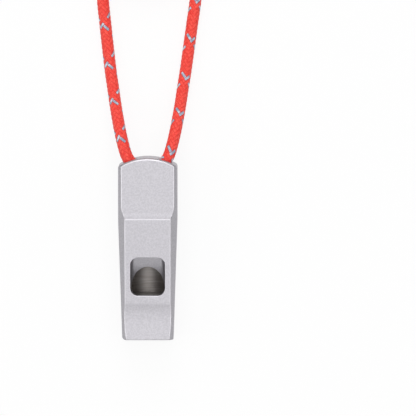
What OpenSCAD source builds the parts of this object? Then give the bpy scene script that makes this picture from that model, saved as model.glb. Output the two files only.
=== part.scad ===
// Flat-sided metal survival whistle on a braided neck cord, lying on its back.
// X runs across the body, +Y towards the domed head, +Z out of the front face.
// The origin is under the middle of the body, on the surface that it lies on.

/* [Body outline] */
// Length of the body from the mouth end to the top of the dome
body_l = 47.8; // [45:0.1:53]
// Width of the body across its straight sides
head_w = 15.5; // [14.6:0.05:17]
// Width of the body at the mouth end
mouth_w = 13.45; // [12.4:0.05:14.4]
// Length of the narrowing sides, from the mouth end
taper_l = 31.1; // [26:0.1:33]
// Radius of the dome seen from the front
dome_r = 15; // [12:0.1:20]
// Radius of the upright edges where the dome meets the sides
head_corner_r = 1; // [0.4:0.1:1.6]
// Radius of the upright edges at the mouth end
mouth_corner_r = 0.8; // [0.3:0.1:1.4]

/* [Front face] */
// Thickness of the head
head_t = 11.5; // [11.2:0.1:12.2]
// Thickness at the crest, the thickest line of the body
crest_t = 12.8; // [12.4:0.1:14]
// Thickness at the low end of the middle face
middle_t = 11.85; // [11.7:0.05:12.2]
// Thickness at the bottom of the bite groove
bite_t = 11.4; // [11.2:0.1:11.6]
// Thickness at the mouth end
mouth_t = 11.8; // [11.5:0.1:12]
// Length from the mouth end to the crest
crest_l = 31.9; // [29:0.1:33.5]
// Length from the mouth end to the low end of the middle face
middle_l = 10; // [9:0.1:11]
// Length from the mouth end to the bottom of the bite groove
bite_l = 5.2; // [4:0.1:7]
// Radius of the hollow curve that falls from the crest to the head
cove_r = 5.9; // [4:0.1:9]

/* [Edges] */
// Height at which the flanks leave the upright sides
flank_t = 10.35; // [9.8:0.05:10.8]
// Lean of the flanks from upright, in degrees
flank_angle = 35; // [30:0.5:42]
// Width of the bevel round the back
back_bevel = 0.8; // [0.3:0.1:1.4]
// Width of the bevel along the front of the dome
dome_bevel = 0.4; // [0.2:0.05:0.8]

/* [Sound chamber] */
// Radius of the chamber bore
bore_r = 4.6; // [4.2:0.05:4.8]
// Wall left between the chamber and the back
back_wall = 1.35; // [1:0.05:1.6]
// Length from the mouth end to the end of the straight bore
bore_l = 37.7; // [32:0.1:38.1]
// Full angle of the drill point that ends the bore, in degrees
drill_angle = 118; // [118:2:140]

/* [Window] */
// Width of the sound window
window_w = 9; // [7.6:0.05:9.1]
// Length of the sound window
window_l = 10.15; // [8.8:0.05:11.6]
// Length from the mouth end to the near end of the window
window_start = 11.75; // [11.2:0.05:13.5]
// Corner radius of the window
window_r = 2; // [1:0.1:2.6]
// Slope of the ramp that falls to the sounding lip, in degrees
ramp_angle = 34.5; // [30:0.5:42]
// Radius between the ramp and the sides of the window
ramp_r = 1; // [0.4:0.1:1.6]

/* [Windway plug] */
// Step from the chamber bore out to the plug's seat
seat_step = 0.15; // [0.1:0.05:0.3]
// Length of the seat that stays open behind the plug's end
seat_relief = 1.05; // [0.5:0.05:1.5]
// Distance from the window to the plug's end
plug_setback = 0; // [0:0.1:0.6]
// Radial clearance of the pressed plug
plug_fit = 0.02; // [0.01:0.01:0.04]
// Height of the windway over the plug's flat
windway_h = 1.25; // [0.9:0.05:1.6]

/* [Cord and its channel] */
// Diameter of the braided cord
cord_d = 3.1; // [2.6:0.1:3.2]
// Radial clearance of the cord in its channel
cord_clear = 0.3; // [0.25:0.05:0.45]
// Radius of the channel's curve, along its middle
channel_bend_r = 6; // [5.6:0.1:6.6]
// Distance from the middle of the body to each hole, on the dome
hole_x = 4.8; // [4.5:0.1:5.2]
// Depth of the channel's middle below the head's front face
channel_depth = 3.1; // [2.8:0.1:3.6]
// Width of the dished rim round each hole, which keeps the edge off the cord
hole_rim = 0.3; // [0.1:0.05:0.4]
// Radius of the ball cutter that dishes the rim
rim_cutter_r = 2.6; // [2.4:0.1:3.5]

/* [Put-away cord] */
// Radius of the hank's inner fold, along the cord's middle
fold_r = 9.3; // [9.3:0.1:9.9]
// Radius of the curve from a fold to the waist, along the outer cord's middle
waist_bend_r = 12; // [10:0.5:15]
// Number of cord layers in the hank
hank_layers = 3; // [3:1:4]
// Width of the band that holds the hank at its waist
tie_w = 5; // [3:0.5:6]
// Thickness of the band
tie_t = 0.8; // [0.5:0.1:1]
// Radius of the knot
knot_r = 6.2; // [5.6:0.1:6.4]
// Radius of the knot at its two ends
knot_end_r = 4; // [3.6:0.1:5]
// Length of the knot
knot_l = 12.4; // [10:0.1:14]
// Length of the two cord ends that stand out of the knot
tail_l = 7; // [4:0.5:10]

/* [Hidden] */

$fn = 64;
metal = [0.82, 0.81, 0.84];
inner_metal = [0.5, 0.5, 0.51];
cord_red = [0.96, 0.3, 0.26];
tie_black = [0.1, 0.1, 0.11];
past = 1;           // how far a cutting shape runs past the face that it cuts
far = 60;           // reach of the shapes that bound the body

// Places along the body
mouth_y = -body_l / 2;
top_y = body_l / 2;
taper_y = mouth_y + taper_l;
taper_angle = atan((head_w - mouth_w) / 2 / taper_l);
dome_y = top_y - dome_r;
crest_y = mouth_y + crest_l;
middle_y = mouth_y + middle_l;
bite_y = mouth_y + bite_l;
cove_rise = crest_t - head_t;
cove_y = crest_y + sqrt(2 * cove_r * cove_rise - cove_rise * cove_rise);
bite_fall = middle_t - bite_t;
bite_run = middle_l - bite_l;
bite_r = (bite_run * bite_run + bite_fall * bite_fall) / (2 * bite_fall);

// Chamber, window and plug
bore_z = back_wall + bore_r;
drill_tip_l = bore_r / tan(drill_angle / 2);
window_y = mouth_y + window_start;
lip_y = window_y + window_l;
plug_l = window_start - plug_setback;
seat_r = bore_r + seat_step;
seat_l = plug_l + seat_relief;
plug_r = seat_r - plug_fit;

// Thickness of the middle face at a place along the body
function middle_face_t(y) = middle_t + (crest_t - middle_t) * (y - middle_y) / (crest_y - middle_y);

// Cord channel: part of a ring that opens at both holes of the dome
channel_r = cord_d / 2 + cord_clear;
channel_z = head_t - channel_depth;
hole_y = dome_y + sqrt(dome_r * dome_r - hole_x * hole_x);
channel_y = hole_y + sqrt(channel_bend_r * channel_bend_r - hole_x * hole_x);
rim_r = channel_r + hole_rim;
rim_out = sqrt(rim_cutter_r * rim_cutter_r - rim_r * rim_r);

// Hank: two folds of cord and a waist where four cords lie side by side, its near fold behind the strands
hank_x = 0.4;
hank_y = 82;
hank_h = hank_layers * cord_d;
outer_fold_r = fold_r + cord_d;
hank_r = outer_fold_r + cord_d / 2;
waist_w = 4 * cord_d;
waist_bend_x = (waist_w - cord_d) / 2 + waist_bend_r;
waist_l = sqrt(pow(outer_fold_r + waist_bend_r, 2) - waist_bend_x * waist_bend_x);
fold_l = 2 * waist_l;
tie_y = hank_y + waist_l;
hank_end_y = hank_y + fold_l + hank_r;
neck_l = cord_d;
neck_h = 1.5 * cord_d;
knot_y = hank_end_y + neck_l;
knot_z = knot_r;
tail_x = cord_d / 2 + 0.15;
tail_z = 1.5 * cord_d;

// Middle of the cord from the hank down the left strand, through the head and back up the right strand
ROUTE = [
    [-12, 82, 1.55], [-12, 77, 1.55], [-12, 71, 1.55], [-11.85, 65, 1.55], [-11.2, 58.5, 1.55],
    [-10.5, 52, 1.6], [-9.8, 46, 1.8], [-9.2, 42, 2.5], [-8.6, 38, 3.9], [-7.9, 34, 5.7],
    [-7.1, 30, 7.3], [-6.2, 26.4, 8.2], [-5.5, 24.3, 8.4], [-4.7, 23, 8.4], [-3.6, 21.9, 8.4],
    [-2, 21.1, 8.4], [0, 20.7, 8.4], [2, 21.1, 8.4], [3.6, 21.9, 8.4],
    [4.7, 23, 8.4], [5.5, 24.3, 8.4], [6.2, 26.4, 8.2], [7.1, 30, 7.3], [7.9, 34, 5.7],
    [8.6, 38, 3.9], [9.2, 42, 2.5], [9.85, 46, 1.8], [10.7, 52, 1.6], [11.6, 58.5, 1.55],
    [12.5, 65, 1.55], [12.8, 71, 1.55], [12.8, 77, 1.55], [12.8, 82, 1.55]
];

// Upright cutter that rounds an edge: the wedge from angle a to angle b about c, less the round itself
module edge_round(c, r, a, b) {
    reach = 4 * r;
    middle = (a + b) / 2;
    translate([c[0], c[1], -past])
        linear_extrude(crest_t + 2 * past)
            difference() {
                polygon([
                    [0, 0],
                    reach * [cos(a), sin(a)],
                    1.5 * reach * [cos(middle), sin(middle)],
                    reach * [cos(b), sin(b)]
                ]);
                circle(r);
            }
}

// Everything on the inner side of the right-hand wall, flank and back bevel
module side_bound() {
    top_t = crest_t + past;
    rotate([90, 0, 0])
        linear_extrude(2 * far, center = true)
            polygon([
                [-far, 0],
                [head_w / 2 - back_bevel, 0],
                [head_w / 2, back_bevel],
                [head_w / 2, flank_t],
                [head_w / 2 - (top_t - flank_t) * tan(flank_angle), top_t],
                [-far, top_t]
            ]);
}

// The same bound turned inwards about the line where the sides begin to narrow
module taper_bound() {
    translate([head_w / 2, taper_y, 0])
        rotate([0, 0, -taper_angle])
            translate([-head_w / 2, 0, 0])
                side_bound();
}

// Side view of the body, pulled across its width
module side_profile() {
    rotate([90, 0, 90])
        linear_extrude(head_w + 2 * past, center = true)
            difference() {
                polygon([
                    [mouth_y + back_bevel, 0], [top_y, 0], [top_y, head_t], [cove_y, head_t],
                    [crest_y, crest_t], [middle_y, middle_t], [bite_y, bite_t],
                    [mouth_y, mouth_t], [mouth_y, back_bevel]
                ]);
                translate([cove_y, head_t + cove_r])
                    circle(cove_r, $fn = 128);
                translate([bite_y, bite_t + bite_r])
                    circle(bite_r, $fn = 256);
            }
}

// Round end of the head with its bevels, and everything below it
module dome_bound() {
    top_t = crest_t + past;
    bevel_t = head_t - dome_bevel;
    union() {
        translate([0, dome_y, 0])
            rotate_extrude($fn = 180)
                polygon([
                    [0, 0], [dome_r - back_bevel, 0], [dome_r, back_bevel], [dome_r, bevel_t],
                    [dome_r - (top_t - bevel_t), top_t], [0, top_t]
                ]);
        translate([-far / 2, dome_y - far, 0])
            cube([far, far, top_t]);
    }
}

// Sound chamber with its drill point, and the wider seat of the plug
module chamber() {
    translate([0, mouth_y - past, bore_z])
        rotate([-90, 0, 0]) {
            cylinder(h = bore_l + past, r = bore_r);
            cylinder(h = seat_l + past, r = seat_r);
            translate([0, 0, bore_l + past])
                cylinder(h = drill_tip_l, r1 = bore_r, r2 = 0);
        }
}

// Rectangle w wide and l long with round corners, its middle at x = 0 and its near side at y = 0
module round_box(w, l, r) {
    x = w / 2 - r;
    union() {
        translate([-w / 2, r]) square([w, l - 2 * r]);
        translate([-x, 0]) square([2 * x, l]);
        for (sx = [-1, 1], y = [r, l - r])
            translate([sx * x, y]) circle(r);
    }
}

// Trough whose floor is the ramp: it falls from the far end of the window into the chamber
module ramp_trough() {
    x = window_w / 2 - ramp_r;
    depth = 3 * bore_r;
    translate([0, lip_y, middle_face_t(lip_y)])
        rotate([90 + ramp_angle, 0, 0])
            translate([0, 0, -2 * ramp_r])
                linear_extrude(3 * window_l)
                    union() {
                        translate([-window_w / 2, ramp_r]) square([window_w, depth]);
                        translate([-x, 0]) square([2 * x, depth]);
                        for (sx = [-1, 1])
                            translate([sx * x, ramp_r]) circle(ramp_r);
                    }
}

module window_cut() {
    intersection() {
        translate([0, 0, bore_z - bore_r / 2])
            linear_extrude(crest_t)
                translate([0, window_y])
                    round_box(window_w, window_l, window_r);
        ramp_trough();
    }
}

// Curved channel for the cord, with a dished rim at each hole
module cord_channel() {
    union() {
        translate([0, channel_y, channel_z])
            rotate_extrude($fn = 96)
                translate([channel_bend_r, 0])
                    circle(channel_r);
        for (sx = [-1, 1])
            translate([0, dome_y, channel_z])
                rotate([0, 0, -sx * asin(hole_x / dome_r)])
                    translate([0, dome_r + rim_out, 0])
                        sphere(rim_cutter_r);
    }
}

module whistle_body() {
    head_c = [
        head_w / 2 - head_corner_r,
        dome_y + sqrt(pow(dome_r - head_corner_r, 2) - pow(head_w / 2 - head_corner_r, 2))
    ];
    head_a = atan2(head_c[1] - dome_y, head_c[0]);
    mouth_c = [
        mouth_w / 2 - mouth_corner_r * (1 - sin(taper_angle)) / cos(taper_angle),
        mouth_y + mouth_corner_r
    ];
    color(metal)
        difference() {
            intersection() {
                side_profile();
                dome_bound();
                side_bound();
                mirror([1, 0, 0]) side_bound();
                taper_bound();
                mirror([1, 0, 0]) taper_bound();
            }
            for (flip = [0, 1])
                mirror([flip, 0, 0]) {
                    edge_round(head_c, head_corner_r, 0, head_a);
                    edge_round(mouth_c, mouth_corner_r, -90, -taper_angle);
                }
            chamber();
            window_cut();
            cord_channel();
        }
}

// Round plug with a flat: air passes between the flat and the seat's crown
module windway_plug() {
    flat_h = seat_r - windway_h;
    color(inner_metal)
        translate([0, mouth_y, bore_z])
            rotate([-90, 0, 0])
                difference() {
                    cylinder(h = plug_l, r = plug_r);
                    translate([-plug_r - past, -plug_r - past, -past])
                        cube([2 * (plug_r + past), plug_r + past - flat_h, plug_l + 2 * past]);
                }
}

function unit(v) = v / norm(v);
function along(p, i) = unit(p[min(i + 1, len(p) - 1)] - p[max(i - 1, 0)]);

// Ring of points round the cord at route point i
function ring(p, i, r, sides) =
    let (t = along(p, i), across = unit(cross([0, 0, 1], t)), up = cross(t, across))
    [for (k = [0 : sides - 1]) p[i] + r * (cos(360 * k / sides) * across + sin(360 * k / sides) * up)];

module tube(p, r, sides) {
    n = len(p);
    points = [for (i = [0 : n - 1]) each ring(p, i, r, sides)];
    walls = [
        for (i = [0 : n - 2], k = [0 : sides - 1])
            let (a = i * sides + k, b = i * sides + (k + 1) % sides)
            each [[a, b, b + sides], [a, b + sides, a + sides]]
    ];
    near_cap = [[for (k = [sides - 1 : -1 : 0]) k]];
    far_cap = [[for (k = [0 : sides - 1]) (n - 1) * sides + k]];
    polyhedron(points, concat(walls, near_cap, far_cap));
}

module cord_loop() {
    color(cord_red)
        tube(ROUTE, cord_d / 2, 8);
}

// Outline of the hank: two folds that curve in to the waist
module hank_outline() {
    lean = atan2(waist_l, waist_bend_x);
    corner = hank_r * [cos(lean), sin(lean)];
    union() {
        for (y = [0, fold_l])
            translate([0, y]) circle(hank_r);
        difference() {
            translate([-corner[0], corner[1]])
                square([2 * corner[0], fold_l - 2 * corner[1]]);
            for (sx = [-1, 1])
                translate([sx * waist_bend_x, waist_l])
                    circle(waist_bend_r - cord_d / 2);
        }
    }
}

// The lowest layer leaves room at its near end for the two strands
module hank_base_outline() {
    difference() {
        hank_outline();
        for (sx = [-1, 1])
            translate([sx * (hank_r + fold_r) - hank_r, -2 * hank_r])
                square([2 * hank_r, 2 * hank_r]);
    }
}

// What passes through the band: the cords, pressed round by it and raised by its thickness
module waist() {
    rotate([90, 0, 0])
        linear_extrude(tie_w, center = true)
            translate([0, tie_t])
                round_box(waist_w, hank_h, cord_d / 2);
}

// The two cords side by side, on their way from the far fold to the knot
module neck() {
    translate([-cord_d, fold_l + fold_r, cord_d])
        cube([2 * cord_d, hank_r - fold_r + neck_l, neck_h]);
}

module cord_hank() {
    color(cord_red)
        translate([hank_x, hank_y, 0])
            union() {
                difference() {
                    union() {
                        linear_extrude(cord_d) hank_base_outline();
                        translate([0, 0, cord_d]) linear_extrude(hank_h - cord_d) hank_outline();
                    }
                    translate([-hank_r, waist_l - tie_w / 2, -past])
                        cube([2 * hank_r, tie_w, hank_h + 2 * past]);
                }
                translate([0, waist_l, 0]) waist();
                neck();
            }
}

module hank_tie() {
    color(tie_black)
        translate([hank_x, tie_y, 0])
            rotate([90, 0, 0])
                linear_extrude(tie_w, center = true)
                    difference() {
                        round_box(waist_w + 2 * tie_t, hank_h + 2 * tie_t, cord_d / 2 + tie_t);
                        translate([0, tie_t])
                            round_box(waist_w, hank_h, cord_d / 2);
                    }
}

// Knot where the two ends are tied together, with the short ends beyond it
module cord_knot() {
    bulge = knot_r - knot_end_r;
    bulge_r = (knot_l * knot_l / 4 + bulge * bulge) / (2 * bulge);
    color(cord_red)
        translate([hank_x, knot_y, knot_z])
            rotate([-90, 0, 0])
                union() {
                    translate([0, 0, knot_l / 2])
                        rotate_extrude()
                            intersection() {
                                translate([knot_r - bulge_r, 0]) circle(bulge_r, $fn = 128);
                                translate([0, -knot_l / 2]) square([knot_r, knot_l]);
                            }
                    for (sx = [-1, 1])
                        translate([sx * tail_x, knot_z - tail_z, knot_l - past])
                            cylinder(h = tail_l + past, r = cord_d / 2);
                }
}

whistle_body();
windway_plug();
cord_loop();
cord_hank();
hank_tie();
cord_knot();
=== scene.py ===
"""Metal survival whistle on a braided neck cord, lying on its back on a white table.

Lengths are in metres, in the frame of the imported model: X across the body, +Y towards the domed head, +Z up.
"""
import math

import bmesh
import bpy
import numpy as np
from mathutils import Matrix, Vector


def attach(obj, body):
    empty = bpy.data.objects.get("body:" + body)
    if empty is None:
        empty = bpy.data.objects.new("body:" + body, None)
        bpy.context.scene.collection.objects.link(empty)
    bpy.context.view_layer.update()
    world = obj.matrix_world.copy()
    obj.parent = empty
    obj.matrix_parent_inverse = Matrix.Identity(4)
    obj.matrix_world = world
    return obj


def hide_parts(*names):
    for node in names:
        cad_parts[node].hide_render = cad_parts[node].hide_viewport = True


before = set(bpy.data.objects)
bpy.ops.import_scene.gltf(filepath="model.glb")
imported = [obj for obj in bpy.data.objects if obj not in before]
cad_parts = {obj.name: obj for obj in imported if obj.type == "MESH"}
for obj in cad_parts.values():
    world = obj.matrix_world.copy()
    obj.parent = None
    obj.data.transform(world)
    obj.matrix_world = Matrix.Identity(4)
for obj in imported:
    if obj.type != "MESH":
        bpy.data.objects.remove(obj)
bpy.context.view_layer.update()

MM = 0.001

# Camera, from the photograph: 416 pixels across at 0.2615 mm each, tilted towards the head. The sensor's width
# is in mm
PHOTO_W = 416
MM_PER_PIXEL = 0.2615
CAMERA_DISTANCE = 0.9
CAMERA_TILT = math.radians(4.5)
LOOK_AT = (0.0158, 0.01086, 0.0115)
SENSOR_W = 36

# Cord: its diameter, the distance of its rings and their corners, and the length of each half
CORD_D = 0.0031
CORD_STEP = 0.00025
CORD_SIDES = 40

# Braid: eight yarns wound each way, each over two and under two, one turn in 10.3 mm. The yarns' height over
# the lines between them, the share of it that lies under the cord's diameter, and the share that a yarn keeps
# where it dives under another
BRAID_PITCH = 0.0103
BRAID_YARNS = 8
BRAID_RELIEF = 0.0001
BRAID_MEAN = 0.35
BRAID_LOW = 0.35

# Tracers: one yarn of each way. Half the width of its strip, without and with the dark line on each side, as
# shares of a yarn's width
TRACER_S = 2
TRACER_Z = 0
STRIP_HALF = 0.34
BESIDE_HALF = 0.44

# Where each half of the cord starts in the head, as its turn and its place along the pattern
LEFT_START = (0.06, 0.355)
RIGHT_START = (0.08, 0.435)

# Strands from the middle of the head's channel to the hank, as the model's route has them. The first points of
# the two are alike, mirrored
ALIKE = 10
RIGHT_STRAND = [
    (0, 0.0207, 0.0084), (0.002, 0.0211, 0.0084), (0.0036, 0.0219, 0.0084), (0.0047, 0.023, 0.0084),
    (0.0055, 0.0243, 0.0084), (0.0062, 0.0264, 0.0082), (0.0071, 0.03, 0.0073), (0.0079, 0.034, 0.0057),
    (0.0086, 0.038, 0.0039), (0.0092, 0.042, 0.0025), (0.00985, 0.046, 0.0018), (0.0107, 0.052, 0.0016),
    (0.0116, 0.0585, 0.00155), (0.0125, 0.065, 0.00155), (0.0128, 0.071, 0.00155), (0.0128, 0.077, 0.00155),
    (0.0128, 0.082, 0.00155),
]
LEFT_STRAND = [(-x, y, z) for x, y, z in RIGHT_STRAND[:ALIKE]] + [
    (-0.0098, 0.046, 0.0018), (-0.0105, 0.052, 0.0016), (-0.0112, 0.0585, 0.00155), (-0.01185, 0.065, 0.00155),
    (-0.012, 0.071, 0.00155), (-0.012, 0.077, 0.00155), (-0.012, 0.082, 0.00155),
]

# Hank: cord folded in three layers round two ends, and drawn in to a waist where four cords lie side by side.
# Where it leaves the waist, an outer cord has climbed a share of the next layer's height
HANK_X = 0.0004
NEAR_FOLD_Y = 0.082
FOLD_R = 0.0093
WAIST_BEND_R = 0.012
HANK_TURNS = 2
OUTER_FOLD_R = FOLD_R + CORD_D
WAIST_BEND_X = 1.5 * CORD_D + WAIST_BEND_R
WAIST_L = math.sqrt((OUTER_FOLD_R + WAIST_BEND_R) ** 2 - WAIST_BEND_X ** 2)
WAIST_Y = NEAR_FOLD_Y + WAIST_L
FAR_FOLD_Y = WAIST_Y + WAIST_L
LEAN = math.atan2(WAIST_L, WAIST_BEND_X)
WAIST_CLIMB = 0.55

# Band round the waist: the length that lies over its own start and where it rises on to it, the spacing and
# height of its ribs, its rounded edges, and the distance of its rings
TIE_W = 0.005
TIE_T = 0.0008
BAND_LAP = 0.007
LAP_RISE_FROM = 0.0012
LAP_RISE_TO = 0.0008
BAND_RIB = 0.0006
BAND_RIB_H = 0.00008
BAND_EDGE = 0.0003
BAND_STEP = 0.0001

# Knot: an overhand knot tied in both ends together and pulled tight. Its middle, its half length, and where its
# tails begin to spread and end
KNOT_Y = 0.141
KNOT_Z = 0.00465
KNOT_HALF = 0.0075
TAIL_Y = 0.154
TAIL_START = 0.148
TAIL_SPLAY = 0.15

# The loose knot that it starts from: its size, its shift to one side, how far its two ends reach, and the number
# of lengths that it is divided into. Its two strands lie this many diameters from its middle
LOOSE_SIZE = 0.0042
LOOSE_SHIFT = 0.004
LOOSE_REACH = 0.022
LOOSE_POINTS = 118
LOOSE_APART = 0.55

# Pulling tight: distance of the points, how many neighbours along a strand may be nearer than a diameter, how
# strongly a point is pulled to its two neighbours in a round, the number of rounds, the last of them with a
# gentler pull, how often in a round the points are pushed apart and by what share of their overlap, and after
# how many rounds their distances are made even
KNOT_SPACING = 0.0016
KNOT_SKIP = 3.5
KNOT_PULL = 0.45
KNOT_ROUNDS = 850
LAST_ROUNDS = 153
LAST_PULL = 0.27 * KNOT_PULL
PUSHES = 3
PUSH = 0.35
EVEN_ROUNDS = 5

# Length of the melted end of each tail
SEALED_L = 0.0011

# Body: its length halved, the reach and height of the bore, and where its drilled cone begins
BODY_HALF = 0.0239
BORE_REACH = 0.0049
BORE_Z = 0.00595
DRILL_TIP_Y = 0.0137

# Edges: how far they are rounded on the body and on the plug, the angle from which two faces make an edge, and
# the one under which they count as one face
EDGE_ROUND = 0.0002
PLUG_ROUND = 0.0001
EDGE_ANGLE = math.radians(24)
FLAT_ANGLE = math.radians(0.3)

# Edges that stay sharp: the cord's holes, and the top of the window's ramp with its two corners
HOLE_X = 0.0048
HOLE_Z = 0.0084
HOLE_REACH = 0.0027
HOLE_FROM_Y = 0.018
RAMP_TOP_Y = -0.002
RAMP_REACH_X = 0.0047
RAMP_REACH_IN = 0.0012
RAMP_REACH_OUT = 0.0003

# Edges with a painted highlight, which show as light lines: all those above this height, apart from the mouth
# end, the ramp's top and the side of the crest towards the cove
FRONT_EDGE_Z = 0.0113
CREST_Y = 0.008
STRAIGHT_HALF_W = 0.0041
END_REACH = 0.0004
RAMP_REACH = 0.0004
CREST_REACH = 0.0006

# Table and light: half the table's side, how much of its white doesn't depend on the light, the strength of
# the even light from all round, and the height that the lamps face
TABLE_HALF = 3
WHITE_SHARE = 0.88
SURROUND = 0.22
MIDDLE_Z = 0.01


def linear(hex_colour):
    """An sRGB hex colour as linear RGBA."""
    values = [int(hex_colour[i:i + 2], 16) / 255 for i in (1, 3, 5)]
    return [v / 12.92 if v <= 0.04045 else ((v + 0.055) / 1.055) ** 2.4 for v in values] + [1]


def add(tree, kind, links=None, **settings):
    """A new node with its settings. links gives an input's value, the socket that feeds it, or the node whose
    first output does."""
    node = tree.nodes.new("ShaderNode" + kind)
    for name, value in settings.items():
        setattr(node, name, value)
    for name, value in (links or {}).items():
        if isinstance(value, bpy.types.Node):
            value = value.outputs[0]
        if isinstance(value, bpy.types.NodeSocket):
            tree.links.new(value, node.inputs[name])
        else:
            node.inputs[name].default_value = value
    return node


def new_material(name):
    """An empty material with its shader and the shader's tree."""
    material = bpy.data.materials.new(name)
    material.use_nodes = True
    tree = material.node_tree
    tree.nodes.clear()
    shader = add(tree, "BsdfPrincipled")
    output = add(tree, "OutputMaterial")
    tree.links.new(shader.outputs[0], output.inputs[0])
    return material, tree, shader


# Camera

def photo_camera():
    """A long lens over the whistle, upright along Y and tilted as in the photograph."""
    data = bpy.data.cameras.new("camera")
    data.sensor_width = SENSOR_W
    data.lens = SENSOR_W * CAMERA_DISTANCE / (PHOTO_W * MM_PER_PIXEL * MM)
    data.clip_end = 20
    camera = bpy.data.objects.new("camera", data)
    camera.location = (
        LOOK_AT[0],
        LOOK_AT[1] + CAMERA_DISTANCE * math.sin(CAMERA_TILT),
        LOOK_AT[2] + CAMERA_DISTANCE * math.cos(CAMERA_TILT),
    )
    camera.rotation_euler = (-CAMERA_TILT, 0, 0)
    bpy.context.scene.collection.objects.link(camera)
    bpy.context.scene.camera = camera


photo_camera()


# Cord

def smooth(points, step):
    """Points every step along a smooth curve through the given ones."""
    p = np.array(points, float)
    p = np.vstack([2 * p[0] - p[1], p, 2 * p[-1] - p[-2]])
    curve = []
    for i in range(1, len(p) - 2):
        a, b, c, d = p[i - 1:i + 3]
        for t in np.linspace(0, 1, 24, endpoint=False):
            curve.append(0.5 * (2 * b + (c - a) * t + (2 * a - 5 * b + 4 * c - d) * t**2
                                + (3 * b - a - 3 * c + d) * t**3))
    curve = np.array(curve + [p[-2]])
    return evenly(curve, step)


def evenly(curve, step):
    """The same line with points every step along it."""
    run = np.concatenate([[0], np.cumsum(np.linalg.norm(np.diff(curve, axis=0), axis=1))])
    marks = np.linspace(0, run[-1], max(2, round(run[-1] / step)) + 1)
    return np.column_stack([np.interp(marks, run, curve[:, k]) for k in range(3)])


def frames(line):
    """Side and top directions along a line, turned as little as possible."""
    tangents = np.gradient(line, axis=0)
    tangents /= np.linalg.norm(tangents, axis=1)[:, None]
    tops = np.empty_like(line)
    top = np.array([0.0, 0.0, 1.0])
    for i, t in enumerate(tangents):
        top = top - t * top.dot(t)
        top /= np.linalg.norm(top)
        tops[i] = top
    return np.cross(tangents, tops), tops


def layer(k):
    """Height of the cord's middle in the hank's layer k."""
    return CORD_D * (k + 0.5)


def eased(t):
    """0 to 1 with level ends, as t goes from 0 to 1."""
    t = min(1, max(0, t))
    return t * t * (3 - 2 * t)


def fold(middle_y, radius, start, end, height):
    """Points round a fold of the hank from one angle to another, with height(angle) over the table."""
    count = max(3, round(abs(end - start) / math.radians(12)))
    return [
        (HANK_X + radius * math.cos(a), middle_y + radius * math.sin(a), height(a))
        for a in np.linspace(start, end, count)
    ]


def waist(side, bend_r, start, end, height):
    """Points along one side of the waist, from start to end, which are angles of its curve from level."""
    return [
        (HANK_X + side * (WAIST_BEND_X - bend_r * math.cos(a)), WAIST_Y + bend_r * math.sin(a), height(a))
        for a in np.linspace(start, end, 9)
    ][1:-1]


def hank_cord(side, outer):
    """A cord wound in the hank from its first waist to its last, up on its own side, -1 left or 1 right."""
    fold_r = OUTER_FOLD_R if outer else FOLD_R
    bend_r = WAIST_BEND_R if outer else WAIST_BEND_R + CORD_D
    points = []
    for k in range(HANK_TURNS):
        level, above = layer(k), layer(k + 1)

        def climb(a):
            """Height along the second side of the waist, where an outer cord begins to climb."""
            return level + outer * CORD_D * WAIST_CLIMB * eased(-a / LEAN - 0.25)

        def near_height(a):
            """Height round the near fold: the cord dips at its far end and comes out a layer higher."""
            below = abs(math.sin(a)) if math.sin(a) < 0 else 0
            sunk = above - CORD_D * eased((below - 0.35) / 0.6)
            on_own_side = math.cos(a) * side > 0
            if on_own_side:
                return sunk
            climbed = eased(1 - math.sin(a) / math.sin(LEAN) * 1.3 + 0.3)
            start = level + outer * CORD_D * (WAIST_CLIMB + (1 - WAIST_CLIMB) * climbed)
            return min(start, sunk)

        far_start, far_end = (math.pi + LEAN, -LEAN) if side < 0 else (-LEAN, math.pi + LEAN)
        near_start, near_end = (LEAN, -math.pi - LEAN) if side < 0 else (math.pi - LEAN, 2 * math.pi + LEAN)
        points += waist(side, bend_r, -LEAN, LEAN, lambda a: level)
        points += fold(FAR_FOLD_Y, fold_r, far_start, far_end, lambda a: level)
        points += waist(-side, bend_r, LEAN, -LEAN, climb)
        points += fold(NEAR_FOLD_Y, fold_r, near_start, near_end, near_height)
    return points + waist(side, bend_r, -LEAN, 0.05, lambda a: layer(HANK_TURNS))


def raised_at_band(points):
    """The hank's points with the cords lifted where the band passes under them."""
    return [
        (x, y, z + TIE_T * (1 - eased((abs(y - WAIST_Y) - TIE_W / 2) / (1.2 * TIE_W)))) for x, y, z in points
    ]


def loose_knot():
    """The middle of a loose overhand knot, which is an open trefoil, from its tail end to its hank end."""
    opening, aside = 0.22, 3.2
    turn = np.linspace(opening, 2 * math.pi - opening, 120)
    reach = 2 + np.cos(3 * turn)
    ring = np.column_stack([reach * np.cos(2 * turn) - aside, reach * np.sin(2 * turn), np.sin(3 * turn)])
    ring *= LOOSE_SIZE
    ring[:, 0] += LOOSE_SHIFT
    beside_x, beside_y = 0.2 * LOOSE_SIZE, 1.6 * LOOSE_SIZE
    tail = [(0, LOOSE_REACH, 0), (beside_x, beside_y, 0)]
    hank_end = [(beside_x, -beside_y, 0), (0, -LOOSE_REACH, 0)]
    line = np.vstack([tail, ring, hank_end])
    run = np.linalg.norm(np.diff(line, axis=0), axis=1).sum()
    return evenly(line, run / LOOSE_POINTS)


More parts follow.
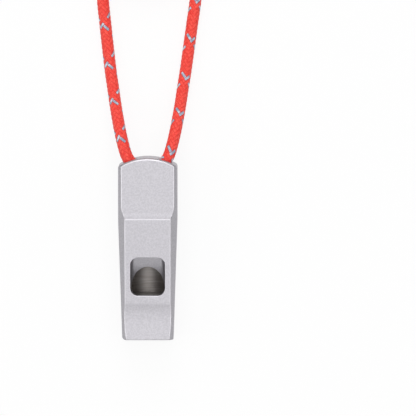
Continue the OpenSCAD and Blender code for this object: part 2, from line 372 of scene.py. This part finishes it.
def tied_knot():
    """Both ends of the cord in one overhand knot. Each strand shortens until it meets the rest."""
    middle = loose_knot()
    _, tops = frames(middle)
    strands = []
    for sign in (1, -1):
        strand = middle + sign * tops * CORD_D * LOOSE_APART
        strand[0] = (0, LOOSE_REACH, sign * CORD_D / 2)
        strand[-1] = (0, -LOOSE_REACH, sign * CORD_D / 2)
        strands.append(strand)
    for step in range(KNOT_ROUNDS):
        pull = KNOT_PULL if step < KNOT_ROUNDS - LAST_ROUNDS else LAST_PULL
        for strand in strands:
            strand[1:-1] += pull * (strand[2:] + strand[:-2] - 2 * strand[1:-1])
        for _ in range(PUSHES):
            strands = pushed_apart(strands)
        if step % EVEN_ROUNDS == 0:
            strands = [evenly(strand, KNOT_SPACING) for strand in strands]
    return strands


def pushed_apart(strands):
    """The strands after each point has moved part of the way out of what it overlaps."""
    points = np.vstack(strands)
    place = np.concatenate([np.arange(len(strand)) for strand in strands])
    owner = np.concatenate([np.full(len(strand), k) for k, strand in enumerate(strands)])
    apart = points[:, None] - points[None, :]
    distance = np.sqrt((apart ** 2).sum(-1)) + 1e-12
    neighbour = (owner[:, None] == owner[None, :]) & (np.abs(place[:, None] - place[None, :]) < KNOT_SKIP)
    overlap = np.where((distance < CORD_D) & ~neighbour, CORD_D - distance, 0)
    moved = points + PUSH * (apart / distance[:, :, None] * overlap[:, :, None]).sum(1)
    out, first = [], 0
    for strand in strands:
        part = moved[first:first + len(strand)]
        part[0], part[-1] = strand[0], strand[-1]
        out.append(part)
        first += len(strand)
    return out


def knot_points(strand):
    """One strand of the knot in its place, from the hank's side to its tail, by every other point."""
    placed = [
        (HANK_X + z + math.copysign(TAIL_SPLAY * max(0, KNOT_Y + y - TAIL_START), z), KNOT_Y + y, KNOT_Z - x)
        for x, y, z in strand[::-1]
    ]
    return [p for p in placed if KNOT_Y - KNOT_HALF < p[1] < TAIL_Y][::2]


def cord_line(strand, side, outer, knot_strand):
    """The middle of one half of the cord, from the head's channel to its tail beyond the knot."""
    if outer:
        lead = fold(NEAR_FOLD_Y, OUTER_FOLD_R, math.pi, math.pi - LEAN, lambda a: layer(0))
    else:
        lead = [
            (HANK_X + r * math.cos(a), NEAR_FOLD_Y + r * math.sin(a), layer(0))
            for a, r in [(t * LEAN, OUTER_FOLD_R - CORD_D * eased(1.25 * t)) for t in np.linspace(0, 1, 6)]
        ]
    top = layer(HANK_TURNS)
    x = side * CORD_D * (1.5 if outer else 0.5)
    leave = [
        (HANK_X + x, WAIST_Y + 0.004, top),
        (HANK_X + 0.98 * x, WAIST_Y + 0.008, top),
        (HANK_X + 0.9 * x, WAIST_Y + 0.012, top - 0.0006),
        (HANK_X + 0.75 * x, WAIST_Y + 0.0165, top - 0.0015),
        (HANK_X + (x + side * CORD_D / 2) / 2, WAIST_Y + 0.021, top - 0.0013),
        (HANK_X + side * 0.0018, FAR_FOLD_Y + 0.0085, top),
        (HANK_X + side * 0.0016, FAR_FOLD_Y + 0.0125, top),
        (HANK_X + side * 0.0016, FAR_FOLD_Y + 0.0148, top - 0.0012),
    ]
    wound = raised_at_band(lead[1:-1] + hank_cord(side, outer) + leave)
    return smooth(strand + wound + knot_points(knot_strand), CORD_STEP)


def braid_relief(turn, along):
    """Height of the braid's yarns, from 0 in their grooves to 1. turn and along are in turns of the braid."""
    a = BRAID_YARNS * (along + turn)
    b = BRAID_YARNS * (along - turn)
    ia, ib = np.floor(a), np.floor(b)
    cell = np.mod(ia - ib, 4)
    s_on_top = cell < 2
    across = np.where(s_on_top, a - ia, b - ib) - 0.5
    run = np.where(s_on_top, (b - ib + (cell == 0)) / 2, (a - ia + (cell == 3)) / 2)
    return (1 - (2 * across) ** 2) * (BRAID_LOW + (1 - BRAID_LOW) * np.sin(math.pi * run))


def braided_tube(name, line, direction, turn_shift, along_shift):
    """A tube along line with the braid's yarns in its surface and a melted, rounded end. Its UVs are turns
    round and along the braid; direction is -1 where the braid runs against the line."""
    count = len(line)
    sides, tops = frames(line)
    k = np.arange(CORD_SIDES)
    angle = 2 * math.pi * k / CORD_SIDES
    run = np.concatenate([[0], np.cumsum(np.linalg.norm(np.diff(line, axis=0), axis=1))])
    along = along_shift + direction * run / BRAID_PITCH
    turn = turn_shift + direction * k / CORD_SIDES
    relief = braid_relief(turn[None, :], along[:, None])
    radius = CORD_D / 2 + BRAID_RELIEF * (relief - BRAID_MEAN)
    sealed = np.clip((run - run[-1]) / SEALED_L + 1, 0, 1)
    radius *= np.sqrt(1 - 0.8 * sealed ** 2)[:, None]
    across = np.sin(angle)[None, :, None] * sides[:, None, :]
    up = np.cos(angle)[None, :, None] * tops[:, None, :]
    points = (line[:, None, :] + radius[:, :, None] * (across + up)).reshape(-1, 3)
    ring, side = np.meshgrid(np.arange(count - 1), k, indexing="ij")
    after = (side + 1) % CORD_SIDES
    quads = np.stack([
        ring * CORD_SIDES + side, ring * CORD_SIDES + after,
        (ring + 1) * CORD_SIDES + after, (ring + 1) * CORD_SIDES + side,
    ], axis=-1).reshape(-1, 4)
    caps = [list(range(CORD_SIDES)), [(count - 1) * CORD_SIDES + i for i in range(CORD_SIDES)][::-1]]
    faces = quads[:, ::-1].tolist() + caps
    mesh = bpy.data.meshes.new(name)
    mesh.from_pydata(points.tolist(), [], faces)
    u0 = turn_shift + direction * side / CORD_SIDES
    u1 = u0 + direction / CORD_SIDES
    v0 = along[ring]
    v1 = along[ring + 1]
    corners = np.stack([
        np.stack([u0, v0], -1), np.stack([u1, v0], -1), np.stack([u1, v1], -1), np.stack([u0, v1], -1),
    ], axis=2).reshape(-1, 4, 2)[:, ::-1]
    cap_uv = np.zeros((2 * CORD_SIDES, 2))
    uv = np.concatenate([corners.reshape(-1, 2), cap_uv]).astype(np.float32)
    mesh.uv_layers.new(name="braid").data.foreach_set("uv", uv.ravel())
    melted = np.append(ring.ravel() > count - SEALED_L / CORD_STEP, [False, True])
    mesh.polygons.foreach_set("material_index", melted.astype(np.int32))
    mesh.shade_smooth()
    mesh.validate()
    obj = bpy.data.objects.new(name, mesh)
    bpy.context.scene.collection.objects.link(obj)
    return obj


def braided_polyester():
    """Braided polyester cord, dyed signal red: dull, with deep lines between its yarns, darkened there with
    painted shade. One yarn each way has a reflective strip that looks pale blue-grey, with brighter painted
    glints and a dark line on each side."""
    material, tree, shader = new_material("braided_polyester")
    uv = add(tree, "UVMap", uv_map="braid")
    parts = add(tree, "SeparateXYZ", {"Vector": uv})
    turn, along = parts.outputs["X"], parts.outputs["Y"]

    # Which yarn lies on top, which yarn it is of its eight, and how far off its middle the point is
    across, tracers, numbers = {}, {}, {}
    for way, operation, tracer in (("s", "ADD", TRACER_S), ("z", "SUBTRACT", TRACER_Z)):
        place = add(tree, "Math", {0: along, 1: turn}, operation=operation)
        place = add(tree, "Math", {0: place, 1: BRAID_YARNS}, operation="MULTIPLY")
        numbers[way] = add(tree, "Math", {0: place}, operation="FLOOR")
        part = add(tree, "Math", {0: place, 1: numbers[way]}, operation="SUBTRACT")
        across[way] = add(tree, "Math", {0: part, 1: 0.5}, operation="SUBTRACT")
        yarn = add(tree, "Math", {0: numbers[way], 1: BRAID_YARNS}, operation="FLOORED_MODULO")
        tracers[way] = add(tree, "Math", {0: yarn, 1: tracer, 2: 0.25}, operation="COMPARE")
    cell = add(tree, "Math", {0: numbers["s"], 1: numbers["z"]}, operation="SUBTRACT")
    cell = add(tree, "Math", {0: cell, 1: 4}, operation="FLOORED_MODULO")
    s_on_top = add(tree, "Math", {0: cell, 1: 1.5}, operation="LESS_THAN")
    off_middle = add(tree, "Mix", {"Factor": s_on_top, 2: across["z"], 3: across["s"]}, data_type="FLOAT")
    off_middle = add(tree, "Math", {0: off_middle}, operation="ABSOLUTE")
    tracer_yarn = add(tree, "Mix", {"Factor": s_on_top, 2: tracers["z"], 3: tracers["s"]}, data_type="FLOAT")

    # The strip, and the dark line beside it where it lies in its yarn
    strip = add(tree, "Math", {0: off_middle, 1: STRIP_HALF}, operation="LESS_THAN")
    strip = add(tree, "Math", {0: tracer_yarn, 1: strip}, operation="MULTIPLY")
    beside = add(tree, "Math", {0: off_middle, 1: BESIDE_HALF}, operation="LESS_THAN")
    beside = add(tree, "Math", {0: tracer_yarn, 1: beside}, operation="MULTIPLY")

    # Painted shade: darker lines between yarns, where shade falls in the grooves; and slightly uneven dye
    groove = add(tree, "MapRange", {"Value": off_middle, "From Min": 0.3, "From Max": 0.5})
    coordinates = add(tree, "TexCoord").outputs["Object"]
    dye = add(tree, "TexNoise", {"Vector": coordinates, "Scale": 1 / (0.6 * MM), "Detail": 3})
    red = add(tree, "ValToRGB", {"Fac": dye})
    red.color_ramp.elements[0].position = 0.36
    red.color_ramp.elements[0].color = linear("#F23A31")
    red.color_ramp.elements[1].position = 0.64
    red.color_ramp.elements[1].color = linear("#FF5C4E")
    dark = add(tree, "Mix", {"Factor": groove, 6: red, 7: linear("#E0382F")}, data_type="RGBA")

    # Painted glints along the strip: lighter patches of its colour, set by noise, that stand in for highlights
    glint = add(tree, "TexNoise", {"Vector": coordinates, "Scale": 1 / (0.9 * MM)})
    silver = add(tree, "ValToRGB", {"Fac": glint})
    silver.color_ramp.elements[0].position = 0.4
    silver.color_ramp.elements[0].color = linear("#93A0B6")
    silver.color_ramp.elements[1].position = 0.7
    silver.color_ramp.elements[1].color = linear("#D8DFEA")
    shaded = add(tree, "Mix", {"Factor": beside, 6: dark.outputs[2], 7: linear("#8C4A50")}, data_type="RGBA")
    base = add(tree, "Mix", {"Factor": strip, 6: shaded.outputs[2], 7: silver}, data_type="RGBA")
    tree.links.new(base.outputs[2], shader.inputs["Base Color"])
    rough = add(tree, "MapRange", {"Value": strip, "To Min": 0.62, "To Max": 0.35})
    tree.links.new(rough.outputs[0], shader.inputs["Roughness"])

    # Filaments in each yarn, drawn about 0.1 mm wide
    fine = add(tree, "TexNoise", {"Vector": coordinates, "Scale": 1 / (0.1 * MM), "Detail": 2})
    bump = add(tree, "Bump", {"Height": fine, "Strength": 0.35, "Distance": 0.05 * MM})
    tree.links.new(bump.outputs[0], shader.inputs["Normal"])
    shader.inputs["Specular IOR Level"].default_value = 0.35
    shader.inputs["Sheen Weight"].default_value = 0.15
    shader.inputs["Sheen Roughness"].default_value = 0.4
    return material


def melted_polyester():
    """Where the cord's end was sealed with a flame: the yarns run together into hard, darker, glossy red."""
    material, tree, shader = new_material("melted_polyester")
    coordinates = add(tree, "TexCoord").outputs["Object"]
    lumps = add(tree, "TexNoise", {"Vector": coordinates, "Scale": 1 / (0.6 * MM), "Detail": 2})
    tone = add(tree, "ValToRGB", {"Fac": lumps.outputs[0]})
    tone.color_ramp.elements[0].position = 0.35
    tone.color_ramp.elements[0].color = linear("#8E1F1C")
    tone.color_ramp.elements[1].position = 0.65
    tone.color_ramp.elements[1].color = linear("#B42B26")
    tree.links.new(tone.outputs[0], shader.inputs["Base Color"])
    bump = add(tree, "Bump", {"Height": lumps.outputs[0], "Strength": 0.5, "Distance": 0.1 * MM})
    tree.links.new(bump.outputs[0], shader.inputs["Normal"])
    shader.inputs["Roughness"].default_value = 0.3
    return material


def put(obj, materials):
    """Gives a piece its materials and its place on the one body."""
    for material in materials:
        obj.data.materials.append(material)
    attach(obj, "root")


# Band round the hank's waist

def black_webbing():
    """Woven black polyester webbing: dull, near black, with a slight sheen on its ribs."""
    material, tree, shader = new_material("black_webbing")
    coordinates = add(tree, "TexCoord").outputs["Object"]
    fibre = add(tree, "TexNoise", {"Vector": coordinates, "Scale": 1 / (0.12 * MM), "Detail": 3})
    tone = add(tree, "ValToRGB", {"Fac": fibre.outputs[0]})
    tone.color_ramp.elements[0].position = 0.35
    tone.color_ramp.elements[0].color = linear("#161617")
    tone.color_ramp.elements[1].position = 0.7
    tone.color_ramp.elements[1].color = linear("#2C2C2E")
    tree.links.new(tone.outputs[0], shader.inputs["Base Color"])
    bump = add(tree, "Bump", {"Height": fibre.outputs[0], "Strength": 0.4, "Distance": 0.04 * MM})
    tree.links.new(bump.outputs[0], shader.inputs["Normal"])
    shader.inputs["Roughness"].default_value = 0.7
    shader.inputs["Sheen Weight"].default_value = 0.2
    return material


def band_path():
    """Middle of the band in the plane across the hank, once round its cords and on over its own start. Each
    entry is x, z and the outward direction."""
    half_w = 2 * CORD_D + TIE_T / 2
    height = (HANK_TURNS + 1) * CORD_D + TIE_T
    corner = CORD_D / 2 + TIE_T / 2
    low, high = TIE_T / 2, TIE_T / 2 + height
    corners = [
        (half_w - corner, high - corner, math.pi / 2), (half_w - corner, low + corner, 0),
        (corner - half_w, low + corner, -math.pi / 2), (corner - half_w, high - corner, -math.pi),
    ]
    outline = [(-BAND_LAP / 2, high, math.pi / 2)]
    for x, z, start in corners:
        for a in np.linspace(start, start - math.pi / 2, 9):
            outline.append((x + corner * math.cos(a), z + corner * math.sin(a), a))
    outline.append((-BAND_LAP / 2 - LAP_RISE_FROM, high, -3 * math.pi / 2))
    outline.append((-BAND_LAP / 2 + LAP_RISE_TO, high + TIE_T, -3 * math.pi / 2))
    outline.append((BAND_LAP / 2, high + TIE_T, -3 * math.pi / 2))
    line = np.array([(x, z, 0) for x, z, _ in outline])
    run = np.concatenate([[0], np.cumsum(np.linalg.norm(np.diff(line, axis=0), axis=1))])
    marks = np.arange(0, run[-1], BAND_STEP)
    return np.column_stack([np.interp(marks, run, [o[k] for o in outline]) for k in range(3)])


def woven_band():
    """The band, with its ribs across it and a rounded edge on each side."""
    path = band_path()
    half = TIE_W / 2 - BAND_EDGE
    around = []
    for side in (1, -1):
        around += [(side * half * t, side) for t in np.linspace(-1, 1, 13)]
        around += [
            (side * (half + BAND_EDGE * math.sin(a)), side * math.cos(a)) for a in np.linspace(0.5, 2.6, 5)
        ]
    points = []
    for i, (x, z, direction) in enumerate(path):
        rib = math.sin(2 * math.pi * i * BAND_STEP / BAND_RIB)
        for y, out in around:
            weave = 0.5 + 0.5 * rib * math.cos(2 * math.pi * y / BAND_RIB)
            r = out * (TIE_T / 2 - BAND_RIB_H + BAND_RIB_H * weave)
            points.append((HANK_X + x + r * math.cos(direction), WAIST_Y + y, z + r * math.sin(direction)))
    rings, sides = len(path), len(around)
    faces = [
        (i * sides + k, i * sides + (k + 1) % sides, (i + 1) * sides + (k + 1) % sides, (i + 1) * sides + k)
        for i in range(rings - 1) for k in range(sides)
    ]
    faces += [tuple(range(sides))[::-1], tuple((rings - 1) * sides + k for k in range(sides))]
    mesh = bpy.data.meshes.new("hank_band")
    mesh.from_pydata(points, [], faces)
    edit = bmesh.new()
    edit.from_mesh(mesh)
    bmesh.ops.recalc_face_normals(edit, faces=edit.faces)
    edit.to_mesh(mesh)
    edit.free()
    mesh.shade_smooth()
    band = bpy.data.objects.new("hank_band", mesh)
    bpy.context.scene.collection.objects.link(band)
    put(band, [black_webbing()])
    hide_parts("hank_tie")
    return band


band = woven_band()
cord_materials = [braided_polyester(), melted_polyester()]
knot = tied_knot()
left_line = cord_line(LEFT_STRAND, -1, True, knot[1])
right_line = cord_line(RIGHT_STRAND, 1, False, knot[0])

for name, line, direction, start in (
    ("left_cord", left_line, -1, LEFT_START),
    ("right_cord", right_line, 1, RIGHT_START),
):
    half = braided_tube(name, line, direction, *start)
    put(half, cord_materials)
    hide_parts("cord_loop", "cord_hank", "cord_knot")


# Whistle

def blasted_titanium():
    """Bead-blasted titanium: a pale satin grey with a faint violet cast and a fine even grain, which is drawn
    about 0.4 mm wide so that it shows."""
    material, tree, shader = new_material("blasted_titanium")
    coordinates = add(tree, "TexCoord").outputs["Object"]
    grain = add(tree, "TexNoise", {
        "Vector": coordinates, "Scale": 1 / (0.4 * MM), "Detail": 3, "Roughness": 0.5,
    })
    tone = add(tree, "ValToRGB", {"Fac": grain.outputs[0]})
    tone.color_ramp.elements[0].position = 0.38
    tone.color_ramp.elements[0].color = linear("#B2B0B5")
    tone.color_ramp.elements[1].position = 0.62
    tone.color_ramp.elements[1].color = linear("#BDBBC0")
    tree.links.new(tone.outputs[0], shader.inputs["Base Color"])
    shader.inputs["Metallic"].default_value = 1
    shader.inputs["Roughness"].default_value = 0.48
    bump = add(tree, "Bump", {"Height": grain.outputs[0], "Strength": 0.25, "Distance": 0.02 * MM})
    tree.links.new(bump.outputs[0], shader.inputs["Normal"])
    return material


def bore_titanium_with_painted_shade():
    """Titanium in the bore, duller as the drill and reamer leave it, and darkened with painted shade for the
    depth of the hole, with fine rings round the bore, which are drawn about 0.35 mm apart so that they show."""
    material, tree, shader = new_material("bore_titanium_with_painted_shade")
    coordinates = add(tree, "TexCoord").outputs["Object"]
    drawn_out = add(tree, "Mapping", {"Vector": coordinates, "Scale": (0.05, 1, 0.05)})
    rings = add(tree, "TexNoise", {"Vector": drawn_out, "Scale": 1 / (0.35 * MM)})
    # Painted shade: these colours are darker than the outside metal, for the shade inside the bore
    tone = add(tree, "ValToRGB", {"Fac": rings.outputs[0]})
    tone.color_ramp.elements[0].position = 0.35
    tone.color_ramp.elements[0].color = linear("#8E8986")
    tone.color_ramp.elements[1].position = 0.65
    tone.color_ramp.elements[1].color = linear("#A39E9B")
    tree.links.new(tone.outputs[0], shader.inputs["Base Color"])
    shader.inputs["Metallic"].default_value = 1
    shader.inputs["Roughness"].default_value = 0.52
    bump = add(tree, "Bump", {"Height": rings.outputs[0], "Strength": 0.15, "Distance": 0.01 * MM})
    tree.links.new(bump.outputs[0], shader.inputs["Normal"])
    return material


def turned_titanium():
    """The plug's turned face: the same metal, lighter than the bore and satin, and a little darker than the
    outside as painted shade.
    """
    material, tree, shader = new_material("turned_titanium")
    coordinates = add(tree, "TexCoord").outputs["Object"]
    marks = add(tree, "TexNoise", {"Vector": coordinates, "Scale": 1 / (0.2 * MM), "Detail": 2})
    # Painted shade: these colours are darker than the outside metal, for the shade deep in the window
    tone = add(tree, "ValToRGB", {"Fac": marks.outputs[0]})
    tone.color_ramp.elements[0].position = 0.35
    tone.color_ramp.elements[0].color = linear("#A4A09D")
    tone.color_ramp.elements[1].position = 0.65
    tone.color_ramp.elements[1].color = linear("#B4B0AD")
    tree.links.new(tone.outputs[0], shader.inputs["Base Color"])
    shader.inputs["Metallic"].default_value = 1
    shader.inputs["Roughness"].default_value = 0.45
    return material


def edge_titanium_with_painted_highlight():
    """Rounded edges with a painted highlight: the same metal in a lighter colour, painted light, and more glossy
    in a thin line.
    """
    material, tree, shader = new_material("edge_titanium_with_painted_highlight")
    # Painted highlight: a lighter colour than the blasted metal, so that the edges show as bright lines
    shader.inputs["Base Color"].default_value = linear("#CECCD1")
    shader.inputs["Metallic"].default_value = 1
    shader.inputs["Roughness"].default_value = 0.36
    coordinates = add(tree, "TexCoord").outputs["Object"]
    grain = add(tree, "TexNoise", {"Vector": coordinates, "Scale": 1 / (0.25 * MM), "Detail": 2})
    bump = add(tree, "Bump", {"Height": grain.outputs[0], "Strength": 0.2, "Distance": 0.01 * MM})
    tree.links.new(bump.outputs[0], shader.inputs["Normal"])
    return material


def in_bore(face):
    """Whether a face of the body lies on the wall or the cone of the bore."""
    x, y, z = face.calc_center_median()
    out = math.hypot(x, z - BORE_Z)
    faces_axis = abs(face.normal.x * x + face.normal.z * (z - BORE_Z)) > 0.5 * out
    on_wall = abs(face.normal.y) < 0.1
    return y > -BODY_HALF and out < BORE_REACH and faces_axis and (on_wall or y > DRILL_TIP_Y)


def can_round(edge):
    """Whether a sharp edge is rounded. The bore, the cord's holes and the ramp's top keep theirs as cut."""
    x, y, z = (edge.verts[0].co + edge.verts[1].co) / 2
    at_bore = math.hypot(x, z - BORE_Z) < BORE_REACH
    at_hole = math.hypot(abs(x) - HOLE_X, z - HOLE_Z) < HOLE_REACH and y > HOLE_FROM_Y
    at_ramp = abs(x) < RAMP_REACH_X and -RAMP_REACH_IN < y - RAMP_TOP_Y < RAMP_REACH_OUT
    return not (at_bore or at_hole or at_ramp)


def on_painted_light_line(face):
    """Whether a face of a rounded edge gets the painted highlight of a light line, as round the front face and
    the window.
    """
    x, y, z = face.calc_center_median()
    at_mouth = y < END_REACH - BODY_HALF
    at_ramp = abs(x) < STRAIGHT_HALF_W and abs(y - RAMP_TOP_Y) < RAMP_REACH
    in_cove = abs(x) < STRAIGHT_HALF_W and abs(y - CREST_Y) < CREST_REACH and face.normal.y > 0.3
    return z > FRONT_EDGE_Z and face.normal.z > 0.3 and not (at_mouth or at_ramp or in_cove)


def broken_edges(node, name, edge_round, materials):
    """A machined node again, with its sharp edges rounded a little. The first material is for its outside,
    and the second and third, if there are any, are for its bore, darkened with painted shade, and its light
    lines of painted highlight."""
    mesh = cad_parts[node].data.copy()
    mesh.name = name
    piece = bpy.data.objects.new(name, mesh)
    bpy.context.scene.collection.objects.link(piece)
    edit = bmesh.new()
    edit.from_mesh(mesh)
    bmesh.ops.remove_doubles(edit, verts=edit.verts, dist=0.001 * MM)
    bmesh.ops.dissolve_limit(edit, angle_limit=FLAT_ANGLE, verts=edit.verts, edges=edit.edges)
    sharp = [e for e in edit.edges if len(e.link_faces) == 2 and e.calc_face_angle() > EDGE_ANGLE]
    for edge in sharp:
        edge.smooth = can_round(edge)
    rounded = bmesh.ops.bevel(
        edit, geom=[e for e in sharp if e.smooth], offset=edge_round, offset_type="OFFSET", segments=2,
        profile=0.5, affect="EDGES", clamp_overlap=False, miter_outer="SHARP", miter_inner="SHARP",
    )
    edit.normal_update()
    for face in edit.faces:
        face.smooth = True
        face.material_index = int(len(materials) > 1 and in_bore(face))
    # Painted highlight: faces of the light lines take the lighter, glossier third material
    for face in rounded["faces"]:
        if len(materials) > 2 and on_painted_light_line(face):
            face.material_index = 2
    mesh.materials.clear()
    for material in materials:
        mesh.materials.append(material)
    edit.to_mesh(mesh)
    edit.free()
    level = piece.modifiers.new("level_faces", "WEIGHTED_NORMAL")
    level.mode = "FACE_AREA"
    level.weight = 100
    level.keep_sharp = True
    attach(piece, "root")
    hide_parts(node)


body_materials = [blasted_titanium(), bore_titanium_with_painted_shade(), edge_titanium_with_painted_highlight()]
broken_edges("whistle_body", "whistle", EDGE_ROUND, body_materials)
broken_edges("windway_plug", "plug", PLUG_ROUND, [turned_titanium()])


# Table, light and background

def white_table():
    """White card: it shows as white, and keeps a soft shadow of what lies on it."""
    material = bpy.data.materials.new("white_card")
    material.use_nodes = True
    tree = material.node_tree
    tree.nodes.clear()
    card = add(tree, "BsdfDiffuse", {"Color": (0.95, 0.95, 0.95, 1)})
    white = add(tree, "Emission", {"Color": (1, 1, 1, 1), "Strength": 1})
    path = add(tree, "LightPath")
    camera_ray, glossy_ray = path.outputs["Is Camera Ray"], path.outputs["Is Glossy Ray"]
    seen = add(tree, "Math", {0: camera_ray, 1: glossy_ray}, operation="MAXIMUM")
    seen = add(tree, "Math", {0: seen, 1: path.outputs["Is Transmission Ray"]}, operation="MAXIMUM")
    share = add(tree, "Math", {0: seen, 1: WHITE_SHARE}, operation="MULTIPLY")
    mix = add(tree, "MixShader", {0: share, 1: card, 2: white})
    output = add(tree, "OutputMaterial")
    tree.links.new(mix.outputs[0], output.inputs[0])
    mesh = bpy.data.meshes.new("table")
    corners = [(x * TABLE_HALF, y * TABLE_HALF, 0) for x, y in ((-1, -1), (1, -1), (1, 1), (-1, 1))]
    mesh.from_pydata(corners, [], [(0, 1, 2, 3)])
    mesh.materials.append(material)
    table = bpy.data.objects.new("table", mesh)
    bpy.context.scene.collection.objects.link(table)


def soft_box(name, location, size, power):
    """A large square lamp that faces the middle of the whistle."""
    data = bpy.data.lights.new(name, "AREA")
    data.size = size
    data.energy = power
    lamp = bpy.data.objects.new(name, data)
    lamp.location = location
    direction = Vector((0, 0, MIDDLE_Z)) - Vector(location)
    lamp.rotation_euler = direction.to_track_quat("-Z", "Y").to_euler()
    bpy.context.scene.collection.objects.link(lamp)


def pale_surround():
    """Dim even white light from all round."""
    world = bpy.data.worlds.new("surround")
    world.use_nodes = True
    tree = world.node_tree
    tree.nodes.clear()
    light = add(tree, "Background", {"Color": (1, 1, 1, 1), "Strength": SURROUND})
    output = add(tree, "OutputWorld")
    tree.links.new(light.outputs[0], output.inputs[0])
    bpy.context.scene.world = world


white_table()
pale_surround()
soft_box("overhead", (0, 0, 1.3), 1.6, 12)
soft_box("head_side", (0, 1.04, 0.79), 0.62, 4.2)
soft_box("mouth_side", (0, -1.26, 0.32), 0.5, 1.6)
soft_box("left_side", (-1.04, 0, 0.79), 0.62, 2.6)
soft_box("right_side", (1.04, 0, 0.79), 0.62, 1.5)
bpy.context.scene.view_settings.view_transform = "Standard"
